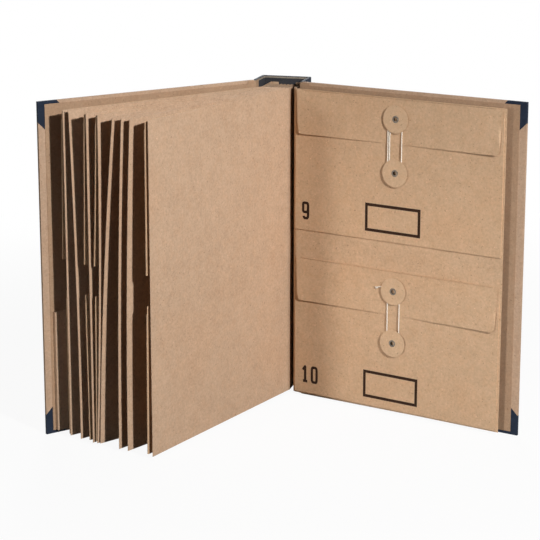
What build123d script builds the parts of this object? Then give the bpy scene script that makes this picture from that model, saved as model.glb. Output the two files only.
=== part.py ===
# Book-style accordion file: a hard case whose U-shaped spine holds a pleated guard, with envelope leaves
# and plain dividers hinged on the crests of the pleats.
#
# Millimetres. +Z is up, the spine stands at the back and its channel opens towards -Y.
# The origin is the middle of the spine board's bottom edge. The file stands open, as it is used on a desk.

import os
from math import acos, atan2, cos, degrees, hypot, radians, sin

from build123d import *

os.makedirs("parts", exist_ok=True)

# Case
cover_height = 325.0
cover_width = 245.0  # hinge axis to fore-edge
board = 2.0
cloth = 0.5
paper = 0.4
lining = 0.4
spine_lining = 0.6
spine_lining_margin = 2.0  # bare edge of the channel at head and tail
hinge_depth = 33.0  # middle of the spine board to the hinge axes
board_fold_gap = 0.3  # between the spine board and its side boards
spine_round = 1.5
turn_in = 14.0
corner_leg = 20.0
fore_margin = 7.0  # turn-in left bare beside the lining
head_margin = 3.0
hinge_groove = 1.8  # coverings stop this far from the hinge axis
seat = 0.3  # clearance between pieces that turn on each other

# Pocket in the front cover
pocket_depth = 4.0
pocket_height = 118.0
pocket_wall = 0.5
pocket_fore_gap = 10.0  # from the cover's fore-edge
pocket_hinge_gap = 32.0  # from the hinge axis
pocket_foot = 3.5  # above the cover's tail

# Leaves
leaf_width = 235.0  # leaf axis to fore-edge
leaf_height = 316.0
leaf_bottom = 3.0
leaf_reach = 4.0  # leaf axes stand this far in front of the cover hinges
sheet = 0.5
guard_sheet = 0.5
pleat_depth = 22.0  # leaf axis to the bottom of a pleat
guard_flange = 8.0  # end of the guard, turned in and glued on the lining
page_gap = 0.4  # between neighbours when the file is shut
divider_gap = 3.1  # between a divider and the sheet before it
facing_gap = 1.0  # more room between the two leaves that face each other, for an open flap
back_gap = 5.35

# Envelopes
pouch_wall = 0.3
pouch_room = 0.4
pouch_fold = 1.0  # closed rim at the sides and the bottom
pouch_height = 142.5
pouch_start = 4.0  # from the leaf axis
pouch_fore_gap = 2.0
pouch_head_gap = 0.5
pouch_between = 29.0
throat = 8.0  # front panel stops this far below the back one
flap_sheet = 0.3
flap_gap = 0.1
flap_height = 44.5
flap_inset = 1.5  # narrower than the pouch at its crease
flap_taper = 2.0
flap_round = 4.5
crease_rise = 0.15  # crease axis in front of the flap
crease_inset = 8.0  # the rolled crease stops short of the flap's ends
button_drop = 20.0  # below the crease
button_spacing = 53.0
disc_radius = 13.7
disc = 0.4
hub_radius = 6.0
hub_height = 1.2
eyelet_radius = 3.5
eyelet_flange = 0.2
barrel_radius = 2.6
barrel_bore = 2.1
barrel_play = 0.1
string_diameter = 1.1
string_play = 0.1
string_step = 2.0
string_end = 20.0  # loose end of the last string, beside its button
string_end_rise = 1.5  # above the button's middle

# How far each piece is swung out from the shut position, in degrees
front_open = 39.5
back_open = 73.5
left_leaves = [
    ("leaf_1", 36.0),
    ("divider_1", 33.4),
    ("leaf_2", 30.1),
    ("leaf_3", 28.0),
    ("divider_2", 27.1),
    ("divider_3", 24.1),
    ("divider_4", 22.0),
    ("leaf_4", 17.2),
]
right_open = 72.3

# Levels above the middle of a leaf's sheet
pouch_back = sheet / 2
pouch_front = pouch_back + 2 * pouch_wall + pouch_room
flap_back = pouch_front + flap_gap
flap_front = flap_back + flap_sheet
crease_level = flap_front + crease_rise
crease_radius = crease_level - flap_back
disc_back = flap_front + hub_height
disc_front = disc_back + disc
stack = disc_front + eyelet_flange
string_level = flap_front + hub_height / 2

# Places on a leaf, measured from its axis and from the ground
pouch_end = leaf_width - pouch_fore_gap
pouch_middle = (pouch_start + pouch_end) / 2
pouch_width = pouch_end - pouch_start
upper_top = leaf_bottom + leaf_height - pouch_head_gap
lower_top = upper_top - pouch_height - pouch_between

# Plan of the case
leaf_pitch = stack + sheet / 2 + page_gap
first_leaf = pocket_depth + page_gap + stack
divider_pitch = sheet + divider_gap
pitches = [divider_pitch if name.startswith("divider") else leaf_pitch for name, angle in left_leaves[1:]]
inside_width = first_leaf + sum(pitches) + leaf_pitch + facing_gap + back_gap
cover_inside = board / 2 + paper + lining
hinge_x = inside_width / 2 + cover_inside
leaf_axis_y = -hinge_depth - leaf_reach
side_board_end = -hinge_depth + board / 2 + seat
leaf_x = [first_leaf - inside_width / 2 + sum(pitches[:n]) for n in range(len(left_leaves))]
right_x = leaf_x[-1] + leaf_pitch + facing_gap


def swing(angle):
    # Direction away from the hinge for a piece swung out to the left by this angle
    return Vector(-sin(radians(angle)), -cos(radians(angle)), 0)


def facing(angle):
    # Normal of the same piece, on its left-hand face
    return Vector(-cos(radians(angle)), sin(radians(angle)), 0)


def save(piece, name):
    piece.part.label = name
    export_step(piece.part, f"parts/{name}.step")


# Spine: one wide board and two narrow side boards make the channel

with BuildPart() as spine_board:
    with BuildSketch(Plane.XY.offset(cloth)) as outline:
        Rectangle(2 * hinge_x + board, board)
        fillet(outline.vertices().group_by(Axis.Y)[-1], spine_round)
    extrude(amount=cover_height - 2 * cloth)
save(spine_board, "spine_board")

for side, x in (("front", -hinge_x), ("back", hinge_x)):
    with BuildPart() as side_board:
        top_edge = -board / 2 - board_fold_gap
        with BuildSketch(Plane.XY.offset(cloth)):
            with Locations((x, (top_edge + side_board_end) / 2)):
                Rectangle(board, top_edge - side_board_end)
        extrude(amount=cover_height - 2 * cloth)
    save(side_board, f"{side}_hinge_board")


def channel(half_width, back):
    # Rectangle open towards the leaves, from the side boards' ends to the given back face
    with Locations((0, (back + side_board_end) / 2)):
        return Rectangle(2 * half_width, back - side_board_end)


def channel_space(half_width, back):
    with Locations((0, (back + 2 * side_board_end) / 2)):
        Rectangle(2 * half_width, back - 2 * side_board_end, mode=Mode.SUBTRACT)


with BuildPart() as spine_cloth:
    with BuildSketch() as wall:
        channel(hinge_x + board / 2 + cloth, board / 2 + cloth)
        fillet(wall.vertices().group_by(Axis.Y)[-1], spine_round + cloth)
        with BuildSketch(mode=Mode.SUBTRACT) as boards:
            with Locations((0, (board / 2 + 2 * side_board_end) / 2)):
                Rectangle(2 * hinge_x + board, board / 2 - 2 * side_board_end)
            fillet(boards.vertices().group_by(Axis.Y)[-1], spine_round)
    extrude(amount=cover_height)
    # Turned over the boards at tail and head
    for level in (0, cover_height - cloth):
        with BuildSketch(Plane.XY.offset(level)) as edge:
            channel(hinge_x + board / 2 + cloth, board / 2 + cloth)
            fillet(edge.vertices().group_by(Axis.Y)[-1], spine_round + cloth)
            channel_space(hinge_x - board / 2, -board / 2)
        extrude(amount=cloth)
save(spine_cloth, "spine_cloth")

with BuildPart() as channel_lining:
    with BuildSketch(Plane.XY.offset(spine_lining_margin)):
        channel(hinge_x - board / 2, -board / 2)
        channel_space(hinge_x - board / 2 - spine_lining, -board / 2 - spine_lining)
    extrude(amount=cover_height - 2 * spine_lining_margin)
save(channel_lining, "spine_lining")


# Accordion guard: straight legs joined by half-round folds, a crest under each leaf

fold_radius = divider_pitch / 4
crest_x = leaf_x + [right_x]
crest_y = leaf_axis_y + sheet / 2 + seat + guard_sheet / 2 + fold_radius
guard_back = -board / 2 - spine_lining - seat / 2
pleat_back = leaf_axis_y + pleat_depth


def fold(x, y, radius, start):
    with BuildLine() as outline:
        CenterArc((x, y), radius + guard_sheet / 2, start, 180)
        CenterArc((x, y), radius - guard_sheet / 2, start, 180)
        Line((x - radius - guard_sheet / 2, y), (x - radius + guard_sheet / 2, y))
        Line((x + radius - guard_sheet / 2, y), (x + radius + guard_sheet / 2, y))
    make_face(outline.edges())


def leg(x, far):
    with Locations((x, (crest_y + far) / 2)):
        Rectangle(guard_sheet, far - crest_y)


with BuildPart() as accordion_guard:
    with BuildSketch(Plane.XY.offset(leaf_bottom)):
        leg(crest_x[0] - fold_radius, guard_back)
        for here, after in zip(crest_x, crest_x[1:]):
            valley_radius = (after - here) / 2 - fold_radius
            valley_y = pleat_back - guard_sheet / 2 - valley_radius
            leg(here + fold_radius, valley_y)
            leg(after - fold_radius, valley_y)
            fold((here + after) / 2, valley_y, valley_radius, 0)
        leg(crest_x[-1] + fold_radius, guard_back)
        for x, hand in ((crest_x[0] - fold_radius, 1), (crest_x[-1] + fold_radius, -1)):
            with Locations((x + hand * (guard_flange - guard_sheet) / 2, guard_back - guard_sheet / 2)):
                Rectangle(guard_flange, guard_sheet)
        for x in crest_x:
            fold(x, crest_y, fold_radius, 180)
    extrude(amount=leaf_height)
save(accordion_guard, "accordion_guard")


# Covers: a board wrapped in paper, cloth over its fore-edge corners, a lining pasted inside

fore = cover_width
head = cover_height / 2


def outer_corner():
    Polygon((fore - corner_leg, head), (fore, head), (fore, head - corner_leg), align=None)


def inner_corner():
    # The corner cloth folds over both edges, so its slanted cut shows mirrored on each turn-in
    Polygon(
        (fore - corner_leg, head),
        (fore, head),
        (fore, head - corner_leg),
        (fore - turn_in, head - corner_leg - turn_in),
        (fore - turn_in, head - turn_in),
        (fore - corner_leg - turn_in, head - turn_in),
        align=None,
    )


def cover_rim():
    # Thickness of the covering along head, tail and fore-edge
    with Locations(((hinge_groove + fore) / 2, 0)):
        Rectangle(fore - hinge_groove, 2 * head)
    with Locations(((fore - paper) / 2, 0)):
        Rectangle(fore - paper, 2 * head - 2 * paper, mode=Mode.SUBTRACT)


def corner_square():
    with Locations((fore - corner_leg / 2, head - corner_leg / 2)):
        Rectangle(corner_leg, corner_leg, mode=Mode.INTERSECT)


def both_corners(shape, mode):
    with BuildSketch() as pair:
        shape()
        mirror(about=Plane.XZ)
    add(pair.sketch, mode=mode)


def make_cover(side, x, angle, outward):
    along = swing(angle)
    plan = Plane((x, -hinge_depth, paper), x_dir=along, z_dir=(0, 0, 1))
    face = Plane((x, -hinge_depth, head), x_dir=along, z_dir=outward)
    outside = face.offset(board / 2)
    inside = face.offset(-board / 2 - paper)

    with BuildPart() as cover_board:
        with BuildSketch(plan):
            with Locations(((fore - paper) / 2, 0)):
                Rectangle(fore - paper, board)
            Circle(board / 2)
        extrude(amount=cover_height - 2 * paper)
    save(cover_board, f"{side}_cover_board")

    with BuildPart() as cover_paper:
        with BuildSketch(outside):
            with Locations(((hinge_groove + fore) / 2, 0)):
                Rectangle(fore - hinge_groove, 2 * head)
            both_corners(outer_corner, Mode.SUBTRACT)
        extrude(amount=paper)
        with BuildSketch(face.offset(-board / 2)):
            cover_rim()
            with Locations((fore - corner_leg / 2, head - corner_leg / 2)):
                Rectangle(corner_leg, corner_leg, mode=Mode.SUBTRACT)
            with Locations((fore - corner_leg / 2, corner_leg / 2 - head)):
                Rectangle(corner_leg, corner_leg, mode=Mode.SUBTRACT)
        extrude(amount=board)
        with BuildSketch(inside):
            with Locations(((hinge_groove + fore) / 2, 0)):
                Rectangle(fore - hinge_groove, 2 * head)
            with Locations(((fore - turn_in) / 2, 0)):
                Rectangle(fore - turn_in, 2 * head - 2 * turn_in, mode=Mode.SUBTRACT)
            both_corners(inner_corner, Mode.SUBTRACT)
        extrude(amount=paper)
    save(cover_paper, f"{side}_cover_paper")

    with BuildPart() as cover_corners:
        with BuildSketch(outside):
            both_corners(outer_corner, Mode.ADD)
        extrude(amount=paper)
        with BuildSketch(face.offset(-board / 2)):
            cover_rim()
            corner_square()
            mirror(about=Plane.XZ)
        extrude(amount=board)
        with BuildSketch(inside):
            both_corners(inner_corner, Mode.ADD)
        extrude(amount=paper)
    save(cover_corners, f"{side}_cover_corners")

    with BuildPart() as cover_lining:
        # Pasted down between the turn-ins, and over them as far as the bare margins
        with BuildSketch(inside):
            with Locations(((hinge_groove + fore - turn_in) / 2, 0)):
                Rectangle(fore - turn_in - hinge_groove, 2 * head - 2 * turn_in)
        extrude(amount=paper)
        with BuildSketch(inside.offset(-lining)):
            with Locations(((hinge_groove + fore - fore_margin) / 2, 0)):
                Rectangle(fore - fore_margin - hinge_groove, 2 * head - 2 * head_margin)
        extrude(amount=lining)
    save(cover_lining, f"{side}_cover_lining")


make_cover("front", -hinge_x, front_open, facing(front_open))
make_cover("back", hinge_x, -back_open, -facing(-back_open))

pocket_plane = Plane((-hinge_x, -hinge_depth, 0), x_dir=swing(front_open), z_dir=-facing(front_open))
pocket_length = cover_width - pocket_fore_gap - pocket_hinge_gap
pocket_middle = pocket_hinge_gap + pocket_length / 2

with BuildPart() as cover_pocket:
    # The pocket's plane looks inwards, so its vertical runs downwards
    with BuildSketch(pocket_plane.offset(cover_inside)):
        with Locations((pocket_middle, -pocket_foot - pocket_height / 2)):
            Rectangle(pocket_length, pocket_height)
    extrude(amount=pocket_depth)
    with BuildSketch(pocket_plane.offset(cover_inside + pocket_wall)):
        with Locations((pocket_middle, -pocket_foot - (pocket_height + pocket_wall) / 2)):
            Rectangle(pocket_length - 2 * pocket_wall, pocket_height - pocket_wall)
    extrude(amount=pocket_depth - 2 * pocket_wall, mode=Mode.SUBTRACT)
save(cover_pocket, "front_cover_pocket")


# Leaves and what is on them. A page plane has its X away from the leaf axis and its Y up.


def leaf_sheet(name, x, angle):
    plan = Plane((x, leaf_axis_y, leaf_bottom), x_dir=swing(angle), z_dir=(0, 0, 1))
    with BuildPart() as piece:
        with BuildSketch(plan):
            with Locations((leaf_width / 2, 0)):
                Rectangle(leaf_width, sheet)
            Circle(sheet / 2)
        extrude(amount=leaf_height)
    save(piece, name)


def page_plane(x, angle):
    return Plane((x, leaf_axis_y, 0), x_dir=swing(angle), z_dir=facing(angle))


def eyelet_hole(page, level, depth, height):
    with BuildSketch(page.offset(level)) as hole:
        with Locations((pouch_middle, height)):
            Circle(barrel_radius + barrel_play)
    extrude(hole.sketch, amount=depth, mode=Mode.SUBTRACT)


def pouch(page, top):
    with BuildSketch(page.offset(pouch_back)) as outline:
        with Locations((pouch_middle, top - pouch_height / 2)):
            Rectangle(pouch_width, pouch_height)
    extrude(outline.sketch, amount=pouch_front - pouch_back)
    with BuildSketch(page.offset(pouch_back + pouch_wall)) as room:
        with Locations((pouch_middle, top - (pouch_height - pouch_fold) / 2)):
            Rectangle(pouch_width - 2 * pouch_fold, pouch_height - pouch_fold)
    extrude(room.sketch, amount=pouch_room, mode=Mode.SUBTRACT)
    with BuildSketch(page.offset(pouch_back + pouch_wall)) as mouth:
        with Locations((pouch_middle, top - throat / 2)):
            Rectangle(pouch_width, throat)
    extrude(mouth.sketch, amount=pouch_front - pouch_back - pouch_wall, mode=Mode.SUBTRACT)
    eyelet_hole(page, pouch_front - pouch_wall, pouch_wall, top - button_drop - button_spacing)


def flap(page, top):
    with BuildSketch(page.offset(flap_back)) as outline:
        Polygon(
            (pouch_start + flap_inset, top),
            (pouch_end - flap_inset, top),
            (pouch_end - flap_inset - flap_taper, top - flap_height),
            (pouch_start + flap_inset + flap_taper, top - flap_height),
            align=None,
        )
        fillet(outline.vertices().group_by(Axis.Y)[0], flap_round)
    extrude(outline.sketch, amount=flap_sheet)
    crease_start = page.from_local_coords((pouch_start + crease_inset, top, crease_level))
    with BuildSketch(Plane(crease_start, z_dir=page.x_dir)) as crease:
        Circle(crease_radius)
    extrude(crease.sketch, amount=pouch_width - 2 * crease_inset)
    eyelet_hole(page, flap_back, flap_sheet, top - button_drop)


def ring(page, height, start, end, outer, bore):
    with BuildSketch(page.offset(start)) as outline:
        with Locations((pouch_middle, height)):
            Circle(outer)
            Circle(bore, mode=Mode.SUBTRACT)
    extrude(outline.sketch, amount=end - start)


def button(page, height, seat_level):
    ring(page, height, seat_level, disc_back, hub_radius, barrel_radius + barrel_play)
    ring(page, height, disc_back, disc_front, disc_radius, barrel_radius + barrel_play)


def eyelet(page, height, seat_level):
    ring(page, height, seat_level, disc_front, barrel_radius, barrel_bore)
    ring(page, height, disc_front, stack, eyelet_radius, barrel_bore)


string_turn = hub_radius + string_play + string_diameter / 2


def doubled_route(middle, upper, lower):
    # Down on the left, round the lower hub, up on the right, over the upper hub and down on the left again
    near, far = string_turn, string_turn + string_step
    Line((middle - near, upper), (middle - near, lower))
    CenterArc((middle, lower), near, 180, 180)
    Line((middle + near, lower), (middle + near, upper))
    CenterArc((middle - string_step / 2, upper), near + string_step / 2, 0, 180)
    Line((middle - far, upper), (middle - far, lower))
    CenterArc((middle, lower), far, 180, 90)


def single_route(middle, upper, lower):
    # In from the left over the upper hub, down on the right, round the lower hub and up on the left
    near = string_turn
    lead = degrees(atan2(string_end_rise, -string_end) - acos(near / hypot(string_end, string_end_rise)))
    touch = (middle + near * cos(radians(lead)), upper + near * sin(radians(lead)))
    Line((middle - string_end, upper + string_end_rise), touch)
    CenterArc((middle, upper), near, lead, -lead)
    Line((middle + near, upper), (middle + near, lower))
    CenterArc((middle, lower), near, 0, -180)
    Line((middle - near, lower), (middle - near, upper))


def wound_string(page, top, route):
    upper = top - button_drop
    with BuildLine(page.offset(string_level)) as path:
        route(pouch_middle, upper, upper - button_spacing)
    wire = path.wires()[0]
    with BuildSketch(Plane(wire @ 0, z_dir=wire % 0)) as section:
        Circle(string_diameter / 2)
    sweep(sections=section.sketch, path=wire)
    return wire


def least_gap(wire, steps=400):
    points = [wire @ (n / steps) for n in range(steps + 1)]
    apart = int(steps * 4 * string_diameter / wire.length) + 1
    gaps = [
        (points[m] - points[n]).length
        for n in range(steps + 1)
        for m in range(n + apart, steps + 1)
    ]
    return min(gaps) - string_diameter


def pouch_button_height(top):
    return top - button_drop - button_spacing


def envelope_leaf(name, x, angle, first_number):
    page = page_plane(x, angle)
    tops = (upper_top, lower_top)
    leaf_sheet(f"{name}_sheet", x, angle)
    for number, top in enumerate(tops, first_number):
        with BuildPart() as envelope:
            pouch(page, top)
        save(envelope, f"envelope_{number}")
    return page, tops


for n, (name, angle) in enumerate(left_leaves):
    if name.startswith("divider"):
        leaf_sheet(name, leaf_x[n], angle)
        continue
    number = 2 * int(name[-1]) - 1
    page, tops = envelope_leaf(name, leaf_x[n], angle, number)
    with BuildPart() as flaps:
        for top in tops:
            flap(page, top)
    save(flaps, f"{name}_flaps")
    with BuildPart() as buttons:
        for top in tops:
            button(page, top - button_drop, flap_front)
            button(page, pouch_button_height(top), pouch_front)
    save(buttons, f"{name}_buttons")
    with BuildPart() as eyelets:
        for top in tops:
            eyelet(page, top - button_drop, flap_back)
            eyelet(page, pouch_button_height(top), pouch_front - pouch_wall)
    save(eyelets, f"{name}_eyelets")
    with BuildPart() as strings:
        for top in tops:
            wound_string(page, top, doubled_route)
    save(strings, f"{name}_strings")

# The leaf that faces the reader: each flap opens, so what is on it is a piece of its own
page, tops = envelope_leaf("leaf_5", right_x, -right_open, 9)
for number, top, route in ((9, upper_top, doubled_route), (10, lower_top, single_route)):
    with BuildPart() as one_flap:
        flap(page, top)
    save(one_flap, f"flap_{number}")
    with BuildPart() as flap_button:
        button(page, top - button_drop, flap_front)
    save(flap_button, f"flap_{number}_button")
    with BuildPart() as flap_eyelet:
        eyelet(page, top - button_drop, flap_back)
    save(flap_eyelet, f"flap_{number}_eyelet")
    with BuildPart() as one_string:
        wire = wound_string(page, top, route)
    save(one_string, f"string_{number}")
    print(f"string_{number}: {wire.length:.1f} mm long, least gap to itself {least_gap(wire):.2f} mm")

with BuildPart() as pouch_buttons:
    for top in tops:
        button(page, pouch_button_height(top), pouch_front)
save(pouch_buttons, "leaf_5_buttons")

with BuildPart() as pouch_eyelets:
    for top in tops:
        eyelet(page, pouch_button_height(top), pouch_front - pouch_wall)
save(pouch_eyelets, "leaf_5_eyelets")

print(f"hinge axes at x {hinge_x:.2f}, y {-hinge_depth:.2f}; leaf axes at y {leaf_axis_y:.2f}")
print("leaf axes at x", [round(x, 2) for x in crest_x])
print(f"creases at level {crease_level:.2f}, z {upper_top:.2f} and {lower_top:.2f}")
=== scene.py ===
import math

import bmesh
import bpy
from mathutils import Matrix, Vector


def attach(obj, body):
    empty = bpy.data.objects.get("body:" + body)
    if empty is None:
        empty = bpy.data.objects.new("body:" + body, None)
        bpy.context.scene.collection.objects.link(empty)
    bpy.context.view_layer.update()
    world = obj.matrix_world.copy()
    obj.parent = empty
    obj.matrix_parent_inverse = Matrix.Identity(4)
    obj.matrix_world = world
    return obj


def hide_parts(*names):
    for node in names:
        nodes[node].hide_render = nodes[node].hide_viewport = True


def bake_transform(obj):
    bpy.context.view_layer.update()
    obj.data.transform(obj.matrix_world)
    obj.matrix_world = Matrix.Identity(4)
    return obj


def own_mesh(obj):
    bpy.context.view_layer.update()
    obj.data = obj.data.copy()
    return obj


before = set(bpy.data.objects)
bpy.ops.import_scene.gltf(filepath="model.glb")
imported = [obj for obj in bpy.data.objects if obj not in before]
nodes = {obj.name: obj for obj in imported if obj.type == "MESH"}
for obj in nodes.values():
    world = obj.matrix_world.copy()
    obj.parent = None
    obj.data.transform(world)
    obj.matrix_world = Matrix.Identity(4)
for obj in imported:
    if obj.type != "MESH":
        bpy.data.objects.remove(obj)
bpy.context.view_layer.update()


def awayTo(look):  # from the object towards a camera or lamp, azimuth 0 is straight in front
    turn, rise = math.radians(look["azimuth"]), math.radians(look["elevation"])
    return Vector((math.sin(turn) * math.cos(rise), -math.cos(turn) * math.cos(rise), math.sin(rise)))


def addFacing(name, data, place, away):
    thing = bpy.data.objects.new(name, data)
    bpy.context.scene.collection.objects.link(thing)
    thing.location = place
    thing.rotation_mode = "QUATERNION"
    thing.rotation_quaternion = (-away).to_track_quat("-Z", "Y")
    return thing


# camera

cameraView = {
    "place": (0.474, -1.755, 0.588),
    "azimuth": 15.65,  # degrees, towards the back cover's side
    "elevation": 12.68,
    "lens": 120.0,
    "sensor": 36.0,
    "shiftY": -0.1,
    "clip": (0.05, 20.0),
}


def addCamera(view):
    data = bpy.data.cameras.new("camera")
    data.sensor_width = view["sensor"]
    data.lens = view["lens"]
    data.shift_y = view["shiftY"]
    data.clip_start, data.clip_end = view["clip"]
    bpy.context.scene.camera = addFacing("camera", data, view["place"], awayTo(view))


addCamera(cameraView)
bpy.context.scene.view_settings.view_transform = "Standard"
print("camera placed")

# where each leaf turns, in millimetres, and how far it is swung out, in degrees

leafAxisY = -37.0
leafPlan = {
    "leaf_1": (-14.65, 36.0),
    "divider_1": (-11.05, 33.4),
    "leaf_2": (-6.95, 30.1),
    "leaf_3": (-2.85, 28.0),
    "divider_2": (0.75, 27.1),
    "divider_3": (4.35, 24.1),
    "divider_4": (7.95, 22.0),
    "leaf_4": (12.05, 17.2),
    "leaf_5": (17.15, -72.3),
}
coverPlan = {"front_cover": (-24.3, 39.5), "back_cover": (24.3, -73.5)}
coverAxisY = -33.0
foldHeights = {"upper": 318.5, "lower": 147.0}  # of an envelope's flap
buttonPlace = {"along": 118.5, "drop": 20.0, "spacing": 53.0}
pouchFace = 1.25  # above the middle of a leaf's sheet
envelopePlan = {  # each number's leaf, and place on it
    2 * leaf - 1 + step: (f"leaf_{leaf}", place) for leaf in range(1, 6) for step, place in enumerate(foldHeights)
}


def swingOf(angle):
    return Vector((-math.sin(math.radians(angle)), -math.cos(math.radians(angle)), 0.0))


def facingOf(angle):
    return Vector((-math.cos(math.radians(angle)), math.sin(math.radians(angle)), 0.0))


def leafPoint(leaf, along, height, level):
    x, angle = leafPlan[leaf]
    flat = Vector((x, leafAxisY, height)) + along * swingOf(angle) + level * facingOf(angle)
    return flat / 1000


def leafMatrix(leaf, along, height, level):
    angle = leafPlan[leaf][1]
    turned = Matrix((swingOf(angle), (0, 0, 1), facingOf(angle))).transposed().to_4x4()
    return Matrix.Translation(leafPoint(leaf, along, height, level)) @ turned


# materials


class Wire:
    def __init__(self, graph, socket):
        self.graph, self.socket = graph, socket

    def maths(self, operation, first, second=0.0):
        return self.graph.add("ShaderNodeMath", {"operation": operation}, {0: first, 1: second})

    def __add__(self, other):
        return self.maths("ADD", self, other)

    def __radd__(self, other):
        return self.maths("ADD", other, self)

    def __sub__(self, other):
        return self.maths("SUBTRACT", self, other)

    def __rsub__(self, other):
        return self.maths("SUBTRACT", other, self)

    def __mul__(self, other):
        return self.maths("MULTIPLY", self, other)

    def __rmul__(self, other):
        return self.maths("MULTIPLY", other, self)

    def __gt__(self, other):
        return self.maths("GREATER_THAN", self, other)

    def sine(self):
        return self.maths("SINE", self)

    def larger(self, other):
        return self.maths("MAXIMUM", self, other)

    def step(self, low, high):
        return self.graph.add(
            "ShaderNodeMapRange",
            {"interpolation_type": "SMOOTHSTEP"},
            {"Value": self, "From Min": low, "From Max": high},
        )


class Graph:
    def __init__(self, tree):
        self.tree = tree

    def add(self, kind, settings, inputs, *outputs):
        node = self.tree.nodes.new(kind)
        for name, value in settings.items():
            setattr(node, name, value)
        for name, value in inputs.items():
            if isinstance(value, Wire):
                self.tree.links.new(value.socket, node.inputs[name])
            else:
                node.inputs[name].default_value = value
        if len(outputs) > 1:
            return [Wire(self, node.outputs[name]) for name in outputs]
        if len(node.outputs):
            return Wire(self, node.outputs[outputs[0] if outputs else 0])

    def where(self, scale=(1, 1, 1), turn=(0, 0, 0), shift=(0, 0, 0)):
        place = self.add("ShaderNodeTexCoord", {}, {}, "Object")
        return self.add(
            "ShaderNodeMapping", {}, {"Vector": place, "Scale": scale, "Rotation": turn, "Location": shift}
        )

    def axes(self, place):
        return self.add("ShaderNodeSeparateXYZ", {}, {0: place}, 0, 1, 2)

    def seen(self):
        rays = self.add("ShaderNodeLightPath", {}, {}, "Is Camera Ray", "Is Glossy Ray", "Is Transmission Ray")
        return rays[0].larger(rays[1]).larger(rays[2])


class Finish(Graph):
    def __init__(self, name):
        self.material = bpy.data.materials.new(name)
        self.material.use_nodes = True
        Graph.__init__(self, self.material.node_tree)
        self.shader = self.tree.nodes["Principled BSDF"]

    def noise(self, scale, detail=2.0, roughness=0.5, stretch=(1, 1, 1), turn=(0, 0, 0), shift=(0, 0, 0)):
        place = self.where(stretch, turn, shift)
        return self.add(
            "ShaderNodeTexNoise", {}, {"Vector": place, "Scale": scale, "Detail": detail, "Roughness": roughness}
        )

    def mix(self, share, first, second):
        tones = [tone if isinstance(tone, Wire) else (*tone, 1.0) for tone in (first, second)]
        return self.add("ShaderNodeMix", {"data_type": "RGBA"}, {0: share, 6: tones[0], 7: tones[1]}, 2)

    def surface(self, colour, roughness, bump, depth, **fixed):
        for name, value in fixed.items():
            self.shader.inputs[name].default_value = value
        raised = self.add("ShaderNodeBump", {}, {"Strength": 1.0, "Distance": depth, "Height": bump})
        for name, value in (("Base Color", colour), ("Roughness", roughness), ("Normal", raised)):
            if isinstance(value, Wire):
                self.tree.links.new(value.socket, self.shader.inputs[name])
            else:
                self.shader.inputs[name].default_value = value
        return self.material


def linear(red, green, blue):
    return tuple(
        c / 12.92 if c <= 0.04045 else ((c + 0.055) / 1.055) ** 2.4 for c in (red / 255, green / 255, blue / 255)
    )


kraftLooks = {
    "leafPaper": {"colour": (198, 167, 139), "cloud": 0.16, "speck": 0.72, "warm": 0.35},
    "envelopePaper": {"colour": (207, 173, 139), "cloud": 0.14, "speck": 0.60, "warm": 0.45},
    "facingPaper": {"colour": (206, 173, 140), "cloud": 0.15, "speck": 0.66, "warm": 0.40},
    "coverPaper": {"colour": (190, 160, 134), "cloud": 0.14, "speck": 0.60, "warm": 0.25},
    # the lining's own kraft tone, made darker as painted shade for the back cover's inside beside the facing leaf
    "shadeDarkenedLiningPaper": {"colour": (172, 141, 113), "cloud": 0.14, "speck": 0.60, "warm": 0.25},
    "pocketPaper": {"colour": (194, 165, 138), "cloud": 0.14, "speck": 0.60, "warm": 0.25},
    "guardPaper": {"colour": (180, 150, 122), "cloud": 0.12, "speck": 0.50, "warm": 0.20},
    "buttonCard": {"colour": (213, 180, 146), "cloud": 0.08, "speck": 0.40, "warm": 0.20},
}
kraftPulp = {  # what all these papers share
    "patch": 0.34,  # weights of these three in the shade
    "grain": 0.25,
    "fibre": 0.22,
    "blush": 0.3,  # shares of these three in the colour
    "darkFleck": 0.5,
    "paleFleck": 0.45,
    "reddish": (1.06, 0.94, 0.84),  # these two are times the colour
    "dark": (0.42, 0.36, 0.31),
    "pale": (1.5, 0.05),  # times the colour, and this much more
    "lowShade": 0.75,
    "contrast": 2.0,
    "darkShare": 0.32,
    "paleShare": 0.24,
    "depth": 0.00012,
    "gloss": 0.25,
}


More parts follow.
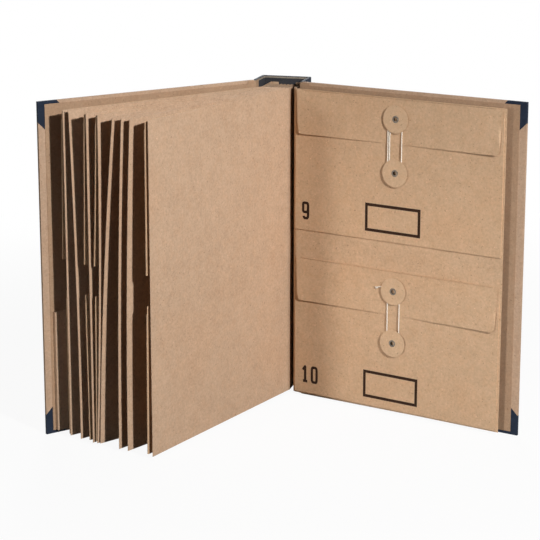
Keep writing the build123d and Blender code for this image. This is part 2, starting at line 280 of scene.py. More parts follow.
def kraftPaper(name):
    look, pulp = kraftLooks[name], kraftPulp
    finish = Finish(name)
    base = linear(*look["colour"])
    reddish, dark = (tuple(c * k for c, k in zip(base, pulp[tint])) for tint in ("reddish", "dark"))
    gain, lift = pulp["pale"]
    pale = tuple(min(1.0, c * gain + lift) for c in base)
    cloud = finish.noise(17, 3, 0.55)
    patch = finish.noise(75, 3, 0.6, shift=(0.3, 0.1, 0.7))
    speck = finish.noise(420, 2, 0.6)
    grain = finish.noise(1500, 2, 0.6)
    fibre = finish.noise(300, 2, 0.5, stretch=(1, 1, 7), turn=(0.5, 0.35, 0.2))
    crossFibre = finish.noise(300, 2, 0.5, stretch=(7, 7, 1), turn=(0.3, -0.4, 0.6))
    shade = 1 + look["cloud"] * (cloud - 0.5) + pulp["patch"] * (patch - 0.5) + look["speck"] * (speck - 0.5)
    shade = shade + pulp["grain"] * (grain - 0.5) + pulp["fibre"] * (fibre + crossFibre - 1)
    warm = finish.noise(11, 2, 0.5, shift=(0.9, 0.4, 0.2)).step(0.46, 0.72)
    colour = finish.mix(warm * look["warm"], base, reddish)
    blush = finish.noise(150, 2, 0.6, shift=(0.5, 0.2, 0.8)).step(0.42, 0.68)
    colour = finish.mix(blush * pulp["blush"], colour, reddish)
    hollow = finish.mix(pulp["darkShare"], colour, dark)
    ridge = finish.mix(pulp["paleShare"], colour, pale)
    colour = finish.mix((shade - pulp["lowShade"]) * pulp["contrast"], hollow, ridge)
    darkFleck = finish.noise(520, 1, 0.4, shift=(0.2, 0.8, 0.4)).step(0.69, 0.76)
    colour = finish.mix(darkFleck * pulp["darkFleck"], colour, dark)
    paleFleck = finish.noise(610, 1, 0.4, shift=(0.6, 0.3, 0.9)).step(0.71, 0.78)
    colour = finish.mix(paleFleck * pulp["paleFleck"], colour, pale)
    roughness = 0.8 + 0.2 * (speck - 0.5)
    bump = 0.5 * grain + 0.3 * speck + 0.5 * (fibre + crossFibre)
    return finish.surface(colour, roughness, bump, pulp["depth"], **{"Specular IOR Level": pulp["gloss"]})


clothLook = {
    "thread": 0.00055,
    "colour": (33, 46, 66),
    "pale": (62, 76, 98),
    "dark": (16, 22, 34),
    "depth": 0.00012,
    "gloss": 0.3,
}


def bookCloth(name, turn):
    look = clothLook
    finish = Finish(name)
    x, y, z = finish.axes(finish.where(turn=(0, 0, math.radians(turn))))
    pace = 2 * math.pi / look["thread"]
    warp, weft = ((x + y) * pace).sine(), (z * pace).sine()
    weave = warp * weft * 0.5 + 0.5
    slub = finish.noise(240, 2, 0.5, stretch=(1, 1, 0.06)) + finish.noise(240, 2, 0.5, stretch=(0.06, 0.06, 1))
    worn = finish.noise(60, 4, 0.65).step(0.55, 0.8)
    colour = finish.mix(weave * 0.5 + 0.5 * (slub - 0.5), linear(*look["dark"]), linear(*look["colour"]))
    colour = finish.mix(worn * 0.3 + 0.25 * weave * worn, colour, linear(*look["pale"]))
    roughness = 0.74 + 0.16 * weave
    bump = weave + 0.5 * slub
    return finish.surface(colour, roughness, bump, look["depth"], **{"Specular IOR Level": look["gloss"]})


liningLook = {
    "dark": (40, 40, 44),
    "pale": (66, 66, 70),
    "scuffed": (92, 90, 90),
    "bare": (186, 172, 150),  # paper along the head
    "bareFrom": 0.32295,
    "depth": 0.00008,
    "gloss": 0.25,
}


def darkLining(name):
    look = liningLook
    finish = Finish(name)
    z = finish.axes(finish.where())[2]
    grain = finish.noise(900, 3, 0.6)
    scuff = finish.noise(50, 4, 0.7).step(0.5, 0.8)
    colour = finish.mix(grain, linear(*look["dark"]), linear(*look["pale"]))
    colour = finish.mix(scuff * 0.3, colour, linear(*look["scuffed"]))
    colour = finish.mix(z > look["bareFrom"], colour, linear(*look["bare"]))
    roughness = 0.7 + 0.2 * grain
    return finish.surface(colour, roughness, grain, look["depth"], **{"Specular IOR Level": look["gloss"]})


boardLook = {"dark": (112, 104, 95), "pale": (168, 158, 144), "layer": (84, 77, 70), "depth": 0.0002, "gloss": 0.2}


def greyBoard(name):
    look = boardLook
    finish = Finish(name)
    pulp = finish.noise(260, 4, 0.65)
    layers = finish.noise(900, 2, 0.5, stretch=(1, 1, 0.05))
    colour = finish.mix(pulp, linear(*look["dark"]), linear(*look["pale"]))
    colour = finish.mix(layers.step(0.55, 0.7) * 0.35, colour, linear(*look["layer"]))
    roughness = 0.86 + 0.1 * pulp
    return finish.surface(colour, roughness, pulp + layers, look["depth"], **{"Specular IOR Level": look["gloss"]})


eyeletLook = {"bright": (132, 126, 117), "dull": (80, 74, 67), "depth": 0.00003}


def eyeletMetal(name):
    look = eyeletLook
    finish = Finish(name)
    brushed = finish.noise(2600, 3, 0.6)
    tarnish = finish.noise(420, 3, 0.6).step(0.48, 0.72)
    colour = finish.mix(tarnish, linear(*look["bright"]), linear(*look["dull"]))
    roughness = 0.3 + 0.25 * tarnish + 0.1 * brushed
    return finish.surface(colour, roughness, brushed, look["depth"], Metallic=1.0)


cottonLook = {
    "dark": (222, 208, 186),
    "pale": (255, 250, 240),
    "turns": 130,  # of the twist, over the string's length
    "plies": 2,
    "depth": 0.0001,
    "gloss": 0.15,
}


def cottonString(name):
    look = cottonLook
    finish = Finish(name)
    along, around = finish.axes(finish.add("ShaderNodeUVMap", {"uv_map": "UVMap"}, {}))[:2]
    ply = ((along * look["turns"] + around * look["plies"]) * 2 * math.pi).sine() * 0.5 + 0.5
    fuzz = finish.noise(3000, 2, 0.6)
    colour = finish.mix(ply * 0.75 + 0.25 * fuzz, linear(*look["dark"]), linear(*look["pale"]))
    return finish.surface(colour, 0.9, ply + 0.4 * fuzz, look["depth"], **{"Specular IOR Level": look["gloss"]})


inkLook = {"dark": (44, 27, 17), "pale": (86, 58, 38), "depth": 0.00004, "gloss": 0.2}


def printInk(name):
    look = inkLook
    finish = Finish(name)
    soak = finish.noise(1300, 3, 0.6)
    colour = finish.mix(soak.step(0.45, 0.75) * 0.5, linear(*look["dark"]), linear(*look["pale"]))
    return finish.surface(colour, 0.7 + 0.2 * soak, soak, look["depth"], **{"Specular IOR Level": look["gloss"]})


paper = {name: kraftPaper(name) for name in kraftLooks}
cloth = {
    "spine": bookCloth("spineCloth", 0),
    "front_cover": bookCloth("frontCornerCloth", coverPlan["front_cover"][1]),
    "back_cover": bookCloth("backCornerCloth", coverPlan["back_cover"][1]),
}
cotton = cottonString("cottonString")
ink = printInk("printInk")
nodeFinishes = [  # a node takes the first one whose word is in its name
    ("spine_cloth", cloth["spine"]),
    ("front_cover_corners", cloth["front_cover"]),
    ("back_cover_corners", cloth["back_cover"]),
    ("spine_lining", darkLining("spineLining")),
    ("_board", greyBoard("greyBoard")),
    ("accordion_guard", paper["guardPaper"]),
    ("_paper", paper["coverPaper"]),
    ("_lining", paper["shadeDarkenedLiningPaper"]),
    ("_pocket", paper["pocketPaper"]),
    ("button", paper["buttonCard"]),
    ("eyelet", eyeletMetal("eyeletMetal")),
    ("string", cotton),
    ("leaf_5_sheet", paper["facingPaper"]),
    ("_sheet", paper["leafPaper"]),
    ("divider", paper["leafPaper"]),
    ("envelope", paper["envelopePaper"]),
    ("flap", paper["envelopePaper"]),
]
finishOf = {name: next(finish for word, finish in nodeFinishes if word in name) for name in nodes}
for name, finish in finishOf.items():
    nodes[name].material_slots[0].material = finish
print("finishes:", len(bpy.data.materials))


def meshFrom(shape, name):
    mesh = bpy.data.meshes.new(name)
    shape.to_mesh(mesh)
    shape.free()
    return mesh


def smoothMesh(mesh, sharpAngle=None):
    for polygon in mesh.polygons:
        polygon.use_smooth = True
    if sharpAngle:
        mesh.set_sharp_from_angle(angle=math.radians(sharpAngle))


def addPiece(name, mesh, material, body=None):
    piece = bpy.data.objects.new(name, mesh)
    bpy.context.scene.collection.objects.link(piece)
    mesh.materials.clear()
    mesh.materials.append(material)
    if body:
        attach(piece, body)
    return piece


# paper that doesn't lie flat: leaning leaves, envelopes that stand off at the fore-edge, lifted flap corners,
# and the facing leaf, which is drawn back into the gutter

leafLeans = {  # of the fore-edge towards the front cover, at the head, half way and at the foot
    "divider_1": {"start": 20.0, "lean": (7.0, 0.9, -0.8)},
    "leaf_3": {"start": 130.0, "lean": (-1.7, 0.6, 8.0)},
    "divider_2": {"start": 20.0, "lean": (-13.0, 2.7, 12.2)},
    "divider_3": {"start": 20.0, "lean": (-6.9, 0.4, 3.4)},
    "divider_4": {"start": 20.0, "lean": (-3.8, 3.0, 5.3)},
}
envelopeFlares = {  # at the envelope's head and foot
    1: (0.5, 5.5),
    2: (0.5, 0.5),
    3: (2.0, 6.5),
    4: (6.0, 4.0),
    5: (1.5, 6.5),
    6: (5.0, 1.0),
    7: (3.0, 3.5),
    8: (3.5, 5.0),
}
paperForm = {
    "foreEdge": 235.0,
    "middle": 161.0,
    "halfHeight": 158.0,
    "pouchHeight": 142.5,
    "flareStart": 140.0,
    "creep": 2.2,  # a flared envelope reaches a little further out
    "flapHeight": 44.5,
    "edgeLift": (0.7, 40.0),  # of a flap's edge, this far from its button and beyond
    "cornerLift": (1.2, 45.0, 67.0),  # more of it, from here on, over this length
    "rootDrop": 2.6,  # how far the facing leaf is drawn back
    "rootEnd": 1.0,  # where the drop ends
    "rootLevel": -0.1,  # and how high the leaf stands there
    "bow": (1.0, 4.0, 30.0),  # it stands highest at its envelopes' edges: how high, where, and where it is flat again
    "crestReach": 2.2,  # of the guard's crest round the leaf's axis
    "keep": 0.15,  # of the bend, when the folder is shut or opened right out
    "flapKeep": 0.05,  # of a flap's, when it is open
    "sharpAngle": 30.0,
    "weld": 1e-6,
}
paperCuts = {  # where paper is cut to bend, from the leaf's axis
    "lean": 9,  # apart
    "flare": range(130, 235, 9),
    "pouch": range(5, 31, 2),
    "flap": [*range(6, 30, 3), *range(34, 235, 9)],
    "facingSheet": [1, 2, 3, *range(4, 31, 2)],
    "heights": range(15, 319, 16),
}


def leanOf(leaf, along, height):
    if leaf not in leafLeans:
        return 0.0
    start, (head, middle, foot) = leafLeans[leaf]["start"], leafLeans[leaf]["lean"]
    reach = max(0.0, (along - start) / (paperForm["foreEdge"] - start))
    level = (height - paperForm["middle"]) / paperForm["halfHeight"]
    return reach**2 * (middle + (head - foot) / 2 * level + ((head + foot) / 2 - middle) * level**2)


def flareReach(along):
    start = paperForm["flareStart"]
    return max(0.0, (along - start) / (paperForm["foreEdge"] - start))


def flareOf(leaf, along, height):
    upper = height > paperForm["middle"]
    number = 2 * int(leaf[-1]) - (1 if upper else 0)
    head, foot = envelopeFlares[number]
    drop = (foldHeights["upper" if upper else "lower"] - height) / paperForm["pouchHeight"]
    return flareReach(along) ** 2 * (head + (foot - head) * drop)


def creepOf(along):
    return paperForm["creep"] * flareReach(along)


def flapLift(place, along, height):
    edge, edgeReach = paperForm["edgeLift"]
    corner, cornerStart, cornerReach = paperForm["cornerLift"]
    away = abs(along - buttonPlace["along"])
    side = max(0.0, (away - cornerStart) / cornerReach)
    drop = max(0.0, (foldHeights[place] - height) / paperForm["flapHeight"])
    return (edge * min(1.0, away / edgeReach) ** 2 + corner * side**2) * drop


def bowOf(along):
    root, rootEnd = paperForm["rootLevel"], paperForm["rootEnd"]
    high, highPlace, end = paperForm["bow"]
    if along < rootEnd:
        return root - paperForm["rootDrop"] * (rootEnd - max(0.0, along))
    if along < highPlace:
        return root + (high - root) * (along - rootEnd) / (highPlace - rootEnd)
    return high * max(0.0, (end - along) / (end - highPlace)) ** 2


def pouchBend(leaf, along, height):
    if leaf == "leaf_5":
        return bowOf(along)
    return leanOf(leaf, along, height) + flareOf(leaf, along, height)


def weldedShape(mesh):
    shape = bmesh.new()
    shape.from_mesh(mesh)
    bmesh.ops.remove_doubles(shape, verts=shape.verts, dist=paperForm["weld"])
    return shape


def cutShape(shape, place, across):
    cut = shape.verts[:] + shape.edges[:] + shape.faces[:]
    bmesh.ops.bisect_plane(shape, geom=cut, dist=paperForm["weld"], plane_co=place, plane_no=across)


def bendMesh(mesh, leaf, bendOf, stations=(), slideOf=None):
    x, angle = leafPlan[leaf]
    origin, swing, facing = Vector((x, leafAxisY, 0)) / 1000, swingOf(angle), facingOf(angle)
    shape = weldedShape(mesh)
    for along in stations:
        cutShape(shape, origin + swing * along / 1000, swing)
    for height in paperCuts["heights"] if stations else ():
        cutShape(shape, (0, 0, height / 1000), (0, 0, 1))
    for vert in shape.verts:
        along = (vert.co - origin).dot(swing) * 1000
        vert.co += facing * (bendOf(along, vert.co.z * 1000) / 1000)
        if slideOf:
            vert.co += swing * (slideOf(along) / 1000)
    shape.to_mesh(mesh)
    shape.free()


bentPieces = []


def addBentPaper(name, node, leaf, body, bendOf, stations, slideOf=None):
    mesh = nodes[node].data.copy()
    mesh.name = name
    bendMesh(mesh, leaf, bendOf, stations, slideOf)
    smoothMesh(mesh, paperForm["sharpAngle"])
    piece = addPiece(name, mesh, finishOf[node], body)
    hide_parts(node)
    bentPieces.append(piece)
    return piece


def settlePaper(piece, leaf, level):
    anchor = leafPoint(leaf, 0, 0, level)
    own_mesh(piece)


for leaf in leafLeans:
    node = leaf if leaf.startswith("divider") else leaf + "_sheet"
    cuts = range(int(leafLeans[leaf]["start"]), int(paperForm["foreEdge"]), paperCuts["lean"])
    piece = addBentPaper(
        "bent_" + node, node, leaf, leaf, lambda u, z, leaf=leaf: leanOf(leaf, u, z), cuts
    )
    settlePaper(piece, leaf, 0.0)
for number in envelopeFlares:
    leaf, place = envelopePlan[number]
    for node in (f"envelope_{number}", leaf + "_flaps") if place == "upper" else (f"envelope_{number}",):
        piece = addBentPaper(
            "bent_" + node, node, leaf, leaf,
            lambda u, z, leaf=leaf: pouchBend(leaf, u, z), paperCuts["flare"], creepOf,
        )
        settlePaper(piece, leaf, pouchFace)
for number in (9, 10):
    leaf, place = envelopePlan[number]
    node = f"envelope_{number}"
    piece = addBentPaper(
        "bent_" + node, node, leaf, leaf, lambda u, z: bowOf(u), paperCuts["pouch"]
    )
    settlePaper(piece, leaf, pouchFace)
    node = f"flap_{number}"
    piece = addBentPaper(
        "lifted_" + node, node, leaf, node,
        lambda u, z, place=place: bowOf(u) + flapLift(place, u, z), paperCuts["flap"],
    )
    leafPoint(leaf, 0, 0, pouchFace)
    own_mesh(piece)
piece = addBentPaper(
    "bent_leaf_5_sheet", "leaf_5_sheet", "leaf_5", "leaf_5",
    lambda u, z: bowOf(u), paperCuts["facingSheet"],
)
settlePaper(piece, "leaf_5", 0.0)


def addDrawnGuard():
    x, angle = leafPlan["leaf_5"]
    reach = paperForm["crestReach"] / 1000
    shape = weldedShape(nodes["accordion_guard"].data)
    crest = [v for v in shape.verts if (v.co.xy - Vector((x, leafAxisY)) / 1000).length < reach]
    bmesh.ops.translate(shape, vec=-facingOf(angle) * paperForm["rootDrop"] / 1000, verts=crest)
    print("guard crest drawn back:", len(crest), "corners")
    mesh = meshFrom(shape, "drawn_accordion_guard")
    smoothMesh(mesh, paperForm["sharpAngle"])
    piece = addPiece(mesh.name, mesh, finishOf["accordion_guard"], "case")
    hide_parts("accordion_guard")
    bentPieces.append(piece)


addDrawnGuard()
print("bent paper:", len(bentPieces))

# strings, each one wound round its two buttons

stringLook = {
    "diameter": 1.1,
    "turn": 6.65,  # from a button's middle
    "step": 2.0,
    "level": 2.25,
    "ease": 6.4,  # straight run before a button
    "looseEnd": (-20.0, 1.5),
    "doubled": 217.5,  # lengths
    "single": 158.0,
    "keep": 0.3,  # when its flap is open
}


def doubledRoute(upper, lower):
    near, ease = stringLook["turn"], stringLook["ease"]
    far, over = near + stringLook["step"], near + stringLook["step"] / 2
    return [
        (-near, upper),
        (-near, lower + ease),
        (-near, lower - near),
        (near, lower - near),
        (near, lower + ease),
        (near, upper - ease),
        (near, upper + over),
        (-far, upper + over),
        (-far, upper - ease),
        (-far, lower + ease),
        (-far, lower - far),
        (0, lower - far),
    ]


def singleRoute(upper, lower):
    near, ease, end = stringLook["turn"], stringLook["ease"], stringLook["looseEnd"]
    lead = math.atan2(end[1], end[0]) - math.acos(near / math.hypot(*end))
    touch = (near * math.cos(lead), near * math.sin(lead))
    slope = (touch[1] - end[1]) / (touch[0] - end[0])
    return [
        (-near, upper),
        (-near, lower + ease),
        (-near, lower - near),
        (near, lower - near),
        (near, lower + ease),
        (near, upper - ease),
        (near, upper + touch[1] + slope * (near - touch[0])),
        (touch[0] - ease, upper + touch[1] - slope * ease),
        (end[0], upper + end[1]),
    ]


def buttonHeight(place):
    return foldHeights[place] - buttonPlace["drop"]


def stringCurve(name, leaf, route, thick):
    curve = bpy.data.curves.new(name, "CURVE")
    curve.dimensions = "3D"
    curve.resolution_u = 10
    spline = curve.splines.new("NURBS")
    spline.points.add(len(route) - 1)
    for point, (along, height) in zip(spline.points, route):
        place = leafPoint(leaf, buttonPlace["along"] + along, height, stringLook["level"])
        point.co = (*place, 1.0)
    spline.order_u = 3
    spline.use_endpoint_u = True
    if thick:
        curve.bevel_depth = stringLook["diameter"] / 2000
        curve.bevel_resolution = 3
        curve.use_fill_caps = True
    return bpy.data.objects.new(name, curve)


def meshFromCurve(curve):
    bpy.context.scene.collection.objects.link(curve)
    bpy.context.view_layer.update()
    mesh = bpy.data.meshes.new_from_object(curve)
    bpy.data.objects.remove(curve)
    return mesh


frayLook = {
    "back": 2.4,
    "thick": (0.8, 0.3),
    "strands": ((3.6, 0.22, 0.1), (3.3, -0.68, 0.0), (2.7, -0.18, 0.3)),  # length, rise and lift
}


def addFray(name, leaf, place, body):
    look, end = frayLook, stringLook["looseEnd"]
    shape = bmesh.new()
    shape.loops.layers.uv.new("UVMap")
    for length, rise, lift in look["strands"]:  # each one runs on past the string's end and spreads
        course = Vector((-1, rise, lift)).normalized()
        turned = course.to_track_quat("Z", "Y").to_matrix().to_4x4()
        bmesh.ops.create_cone(
            shape, cap_ends=True, segments=8, radius1=look["thick"][0] / 2000, radius2=look["thick"][1] / 2000,
            depth=length / 1000, matrix=Matrix.Translation(course * length / 2000) @ turned, calc_uvs=True,
        )
    along, height = buttonPlace["along"] + end[0] + look["back"], buttonHeight(place) + end[1]
    bmesh.ops.transform(shape, matrix=leafMatrix(leaf, along, height, stringLook["level"]), verts=shape.verts)
    mesh = meshFrom(shape, name)
    smoothMesh(mesh)
    return addPiece(name, mesh, cotton, body)


def addString(name, leaf, place, routeOf, body, node):
    upper = buttonHeight(place)
    route = routeOf(upper, upper - buttonPlace["spacing"])
    line = meshFromCurve(stringCurve(name + "_line", leaf, route, False))
    mesh = meshFromCurve(stringCurve(name + "_round", leaf, route, True))
    mesh.name = name
    smoothMesh(mesh)
    piece = addPiece(name, mesh, cotton, body)
    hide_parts(node)
    return piece


for number, (leaf, place) in envelopePlan.items():
    name, routeOf, length = f"tie_string_{number}", doubledRoute, stringLook["doubled"]
    body, node, ends = leaf, leaf + "_strings", []
    if leaf == "leaf_5":
        body, node = f"flap_{number}", f"string_{number}"
    if number == 10:  # wound once, with a loose end
        routeOf, length, ends = singleRoute, stringLook["single"], [addFray(name + "_fray", leaf, place, body)]
    piece = addString(name, leaf, place, routeOf, body, node)
    if leaf == "leaf_5":
        anchor = leafPoint(leaf, buttonPlace["along"], buttonHeight(place), stringLook["level"])
        for part in (piece, *ends):
            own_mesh(part)
print("strings:", len(envelopePlan))

# prints on the envelopes: a number and an empty label frame

labelFrame = {"start": 84.7, "end": 146.6, "top": 106.0, "bottom": 134.4, "line": 3.0}
numberPrint = {"start": 11.5, "top": 113.2, "height": 18.5, "width": 8.5, "gap": 2.6, "stroke": 2.8}
printLevel = pouchFace + 0.02
printFlatness = 0.004  # of a stroke's round section
# corners of each stroke in a box of one by one: a repeated corner is sharp,
# and a stroke that ends where it began is closed
digitStrokes = {
    "0": [[(0.5, 1), (0, 1), (0, 0.5), (0, 0), (0.5, 0), (1, 0), (1, 0.5), (1, 1), (0.5, 1)]],
    "1": [[(0.1, 0.74), (0.1, 0.74), (0.55, 1), (0.55, 1), (0.55, 0)], [(0.1, 0), (1, 0)]],
    "2": [[(0, 0.75), (0, 1), (0.5, 1), (1, 1), (1, 0.7), (0.85, 0.48), (0, 0), (0, 0), (1, 0)]],
    "3": [
        [(0, 0.8), (0.05, 1), (0.5, 1), (0.95, 1), (0.95, 0.77), (0.95, 0.54), (0.45, 0.54)],
        [(0.45, 0.54), (1, 0.54), (1, 0.27), (1, 0), (0.5, 0), (0, 0), (0, 0.2)],
    ],
    "4": [[(0.75, 0), (0.75, 1), (0.75, 1), (0, 0.3), (0, 0.3), (1, 0.3)]],
    "5": [
        [(0.9, 1), (0.1, 1), (0.1, 1), (0.05, 0.55), (0.05, 0.55), (0.3, 0.65), (1, 0.65), (1, 0.33), (1, 0)]
        + [(0.5, 0), (0, 0), (0, 0.18)],
    ],
    "6": [
        [(0.9, 0.86), (0.8, 1), (0.5, 1), (0, 1), (0, 0.45), (0, 0), (0.5, 0), (1, 0), (1, 0.3), (1, 0.6)]
        + [(0.5, 0.6), (0.05, 0.6), (0, 0.32)],
    ],
    "7": [[(0, 1), (1, 1), (1, 1), (0.35, 0)]],
    "8": [
        [(0.5, 1), (0.06, 1), (0.06, 0.77), (0.06, 0.53), (0.5, 0.53)]
        + [(0.94, 0.53), (0.94, 0.77), (0.94, 1), (0.5, 1)],
        [(0.5, 0.53), (0, 0.53), (0, 0.27), (0, 0), (0.5, 0), (1, 0), (1, 0.27), (1, 0.53), (0.5, 0.53)],
    ],
    "9": [
        [(0.1, 0.14), (0.2, 0), (0.5, 0), (1, 0), (1, 0.55), (1, 1), (0.5, 1), (0, 1), (0, 0.7), (0, 0.4)]
        + [(0.5, 0.4), (0.95, 0.4), (1, 0.68)],
    ],
}


def addPrint(name, mesh, leaf):
    mesh.name = name
    bendMesh(mesh, leaf, lambda u, z: pouchBend(leaf, u, z))
    piece = addPiece(name, mesh, ink, leaf)
    settlePaper(piece, leaf, pouchFace)


def addLabelFrame(number, leaf, place):
    look, name = labelFrame, f"label_frame_{number}"
    wide, tall = look["end"] - look["start"], look["bottom"] - look["top"]
    shape = bmesh.new()
    bmesh.ops.create_grid(shape, x_segments=1, y_segments=1, size=0.0005)  # a millimetre square
    bmesh.ops.scale(shape, vec=(wide, tall, 1), verts=shape.verts)
    bmesh.ops.inset_region(
        shape, faces=shape.faces, thickness=look["line"] / 1000, use_boundary=True, use_even_offset=True
    )
    inner = min(shape.faces, key=lambda face: face.calc_center_median().length)
    bmesh.ops.delete(shape, geom=[inner], context="FACES_ONLY")
    along, drop = (look["start"] + look["end"]) / 2, (look["top"] + look["bottom"]) / 2
    onLeaf = leafMatrix(leaf, along, foldHeights[place] - drop, printLevel)
    bmesh.ops.transform(shape, matrix=onLeaf, verts=shape.verts)
    addPrint(name, meshFrom(shape, name), leaf)


def digitCurve(name, digits):
    look = numberPrint
    curve = bpy.data.curves.new(name, "CURVE")
    curve.dimensions = "3D"
    curve.resolution_u = 6
    curve.bevel_depth = look["stroke"] / 2000
    curve.bevel_resolution = 2
    curve.use_fill_caps = True
    wide, tall = look["width"] - look["stroke"], look["height"] - look["stroke"]
    for order, digit in enumerate(digits):
        left = order * (look["width"] + look["gap"])
        for stroke in digitStrokes[digit]:
            closed = stroke[0] == stroke[-1]
            corners = stroke[:-1] if closed else stroke
            spline = curve.splines.new("NURBS")
            spline.points.add(len(corners) - 1)
            for point, (across, up) in zip(spline.points, corners):
                point.co = ((left + across * wide) / 1000, up * tall / 1000, 0.0, 1.0)
            spline.order_u = min(3, len(corners))
            spline.use_endpoint_u = not closed
            spline.use_cyclic_u = closed
    return bpy.data.objects.new(name, curve)


def addNumber(number, leaf, place):
    look, name = numberPrint, f"number_{number}"
    mesh = meshFromCurve(digitCurve(name, str(number)))
    half = look["stroke"] / 2
    foot = foldHeights[place] - look["top"] - look["height"] + half
    onLeaf = leafMatrix(leaf, look["start"] + half, foot, printLevel)
    mesh.transform(onLeaf @ Matrix.Diagonal((1, 1, printFlatness, 1)))
    addPrint(name, mesh, leaf)


for number, (leaf, place) in envelopePlan.items():
    addLabelFrame(number, leaf, place)
    addNumber(number, leaf, place)
print("prints:", 2 * len(envelopePlan))

# cloth over the outside of the cover hinges, paper over the inside

hingeStrips = {
    "onSpine": 8.0,
    "onCover": 8.0,
    "outside": 1.55,  # from the hinge axis to the cloth
    "beside": 0.1,  # further off beside the spine
    "bend": (0.5, 1.4),  # starts and ends this far from the hollow corner
    "round": 0.1,
    "inside": 1.95,  # from the hinge axis to the paper
    "tuck": 0.2,  # nearer beside the spine
    "lead": (1.4, 1.8),  # straight on the spine and on the cover before the turn
    "thick": 0.35,
    "foot": 0.8,
    "height": 323.4,
}


def hingeFacts(side):
    x, angle = coverPlan[side]
    hand = -1 if side == "front_cover" else 1
    return Vector((x, coverAxisY, 0)), Vector((hand, 0, 0)), -hand * facingOf(angle), swingOf(angle)


def outerLine(side):  # the two faces meet in a hollow corner
    look = hingeStrips
    axis, sideways, out, away = hingeFacts(side)
    beside = look["outside"] + look["beside"]
    first = axis + sideways * beside + Vector((0, look["onSpine"], 0))
    offset = out * look["outside"]
    reach = (beside - offset.x * sideways.x) / (away.x * sideways.x)
    corner = axis + offset + away * reach
    back = (first - corner).normalized()
    near, far = look["bend"]
    points = [first, corner + back * far, corner + back * near + away * look["round"]]
    return points + [corner + away * step for step in (near, far, look["onCover"])]


def innerLine(side):  # round the hinge axis
    look, radius = hingeStrips, hingeStrips["inside"]
    axis, sideways, out, away = hingeFacts(side)
    onSpine, onCover = look["lead"]
    beside = axis - sideways * (radius - look["tuck"])
    points = [beside + Vector((0, up, 0)) for up in (look["onSpine"], onSpine)]
    for part in (0.0, 0.25, 0.5, 0.75, 1.0):
        turned = Matrix.Rotation(-math.radians(coverPlan[side][1]) * part, 3, "Z") @ -sideways
        points.append(axis + turned * radius)
    return points + [axis - out * radius + away * step for step in (onCover, look["onCover"] + onCover)]


def addHingeStrip(name, side, line, material):
    look, flat = hingeStrips, Vector((1, 1, 0))
    shape = bmesh.new()
    row = [shape.verts.new((p.x / 1000, p.y / 1000, look["foot"] / 1000)) for p in line]
    edges = [shape.edges.new(pair) for pair in zip(row, row[1:])]
    grown = bmesh.ops.extrude_edge_only(shape, edges=edges)["geom"]
    top = [part for part in grown if isinstance(part, bmesh.types.BMVert)]
    bmesh.ops.translate(shape, vec=(0, 0, look["height"] / 1000), verts=top)
    bmesh.ops.recalc_face_normals(shape, faces=shape.faces)
    widest = max(shape.faces, key=lambda face: face.calc_area())
    fromAxis = (widest.calc_center_median() - hingeFacts(side)[0] / 1000) * flat
    if widest.normal.dot(fromAxis) < 0:
        bmesh.ops.reverse_faces(shape, faces=shape.faces)
    bmesh.ops.solidify(shape, geom=shape.faces[:], thickness=look["thick"] / 1000)
    piece = addPiece(name, meshFrom(shape, name), material, None)
    line[1] / 1000 * flat
    line[-2] / 1000 * flat
    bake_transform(piece)


for side in coverPlan:
    hinge = side.replace("cover", "hinge")
    addHingeStrip(hinge + "_cloth", side, outerLine(side), cloth["spine"])
    addHingeStrip(hinge + "_paper", side, innerLine(side), paper["shadeDarkenedLiningPaper"])
print("hinge strips:", 2 * len(coverPlan))

# floor, world and lamps

objectAim = (0.03, -0.12, 0.16)
pageAim = (0.185, -0.095, 0.045)
lamps = {
    "key": {"azimuth": 50.0, "elevation": 26.0, "distance": 2.0, "size": 0.13, "power": 40.0, "aim": objectAim},
    "rear": {"azimuth": 200.0, "elevation": 10.0, "distance": 2.6, "size": 0.9, "power": 58.0, "aim": objectAim},
    "fill": {  # a soft cone on the facing page, so that the leaves beside it stay dark
        "azimuth": -30.0, "elevation": 8.0, "distance": 2.6, "size": 0.6, "power": 230.0, "aim": pageAim, "cone": 12.5,
    },
}


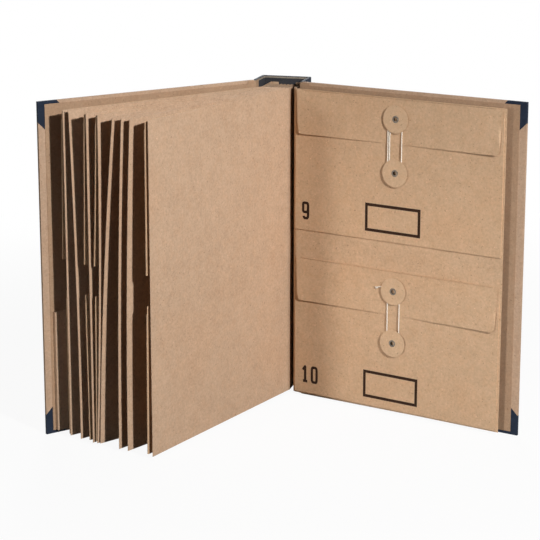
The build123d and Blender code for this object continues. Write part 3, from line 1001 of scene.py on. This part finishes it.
def addLamp(name):
    look = lamps[name]
    data = bpy.data.lights.new(name, "SPOT" if "cone" in look else "AREA")
    data.energy = look["power"]
    if "cone" in look:
        data.spot_size, data.spot_blend = math.radians(look["cone"]), 1.0
        data.shadow_soft_size = look["size"] / 2
    else:
        data.shape = "DISK"
        data.size = look["size"]
    away = awayTo(look)
    addFacing(name, data, Vector(look["aim"]) + away * look["distance"], away)


studio = {
    "ambient": 0.01,
    "floorSize": 6.0,
    "floorTone": 0.82,
    "bounce": 0.1,  # the floor's tone in the light that it throws back on the object
    "glow": 0.93,  # white of the floor by the object, full white further off
    "fade": (0.1, 0.8),
}


def addWorld():
    world = bpy.data.worlds.new("studio")
    bpy.context.scene.world = world
    world.use_nodes = True
    world.node_tree.nodes.clear()
    graph = Graph(world.node_tree)
    light = graph.add("ShaderNodeBackground", {}, {"Strength": studio["ambient"]})
    white = graph.add("ShaderNodeBackground", {}, {"Color": (1, 1, 1, 1)})
    mix = graph.add("ShaderNodeMixShader", {}, {0: graph.seen(), 1: light, 2: white})
    graph.add("ShaderNodeOutputWorld", {}, {"Surface": mix})


def addFloor():
    look = studio
    shape = bmesh.new()
    bmesh.ops.create_grid(shape, x_segments=1, y_segments=1, size=look["floorSize"])
    mesh = meshFrom(shape, "floor")
    material = bpy.data.materials.new("paleFloor")
    material.use_nodes = True
    material.node_tree.nodes.clear()
    graph = Graph(material.node_tree)
    x, y = graph.axes(graph.where())[:2]
    away = (x * x + y * y).step(*look["fade"])
    share = look["glow"] + (1 - look["glow"]) * away
    tone = look["bounce"] + (look["floorTone"] - look["bounce"]) * graph.seen()
    grey = graph.add("ShaderNodeCombineColor", {}, {0: tone, 1: tone, 2: tone})
    plain = graph.add("ShaderNodeBsdfDiffuse", {}, {"Color": grey})
    glow = graph.add("ShaderNodeEmission", {}, {"Color": (1, 1, 1, 1)})
    mix = graph.add("ShaderNodeMixShader", {}, {0: graph.seen() * share, 1: plain, 2: glow})
    graph.add("ShaderNodeOutputMaterial", {}, {"Surface": mix})
    mesh.materials.append(material)
    floor = bpy.data.objects.new("floor", mesh)
    bpy.context.scene.collection.objects.link(floor)


for name in lamps:
    addLamp(name)
addWorld()
addFloor()
print("studio ready")
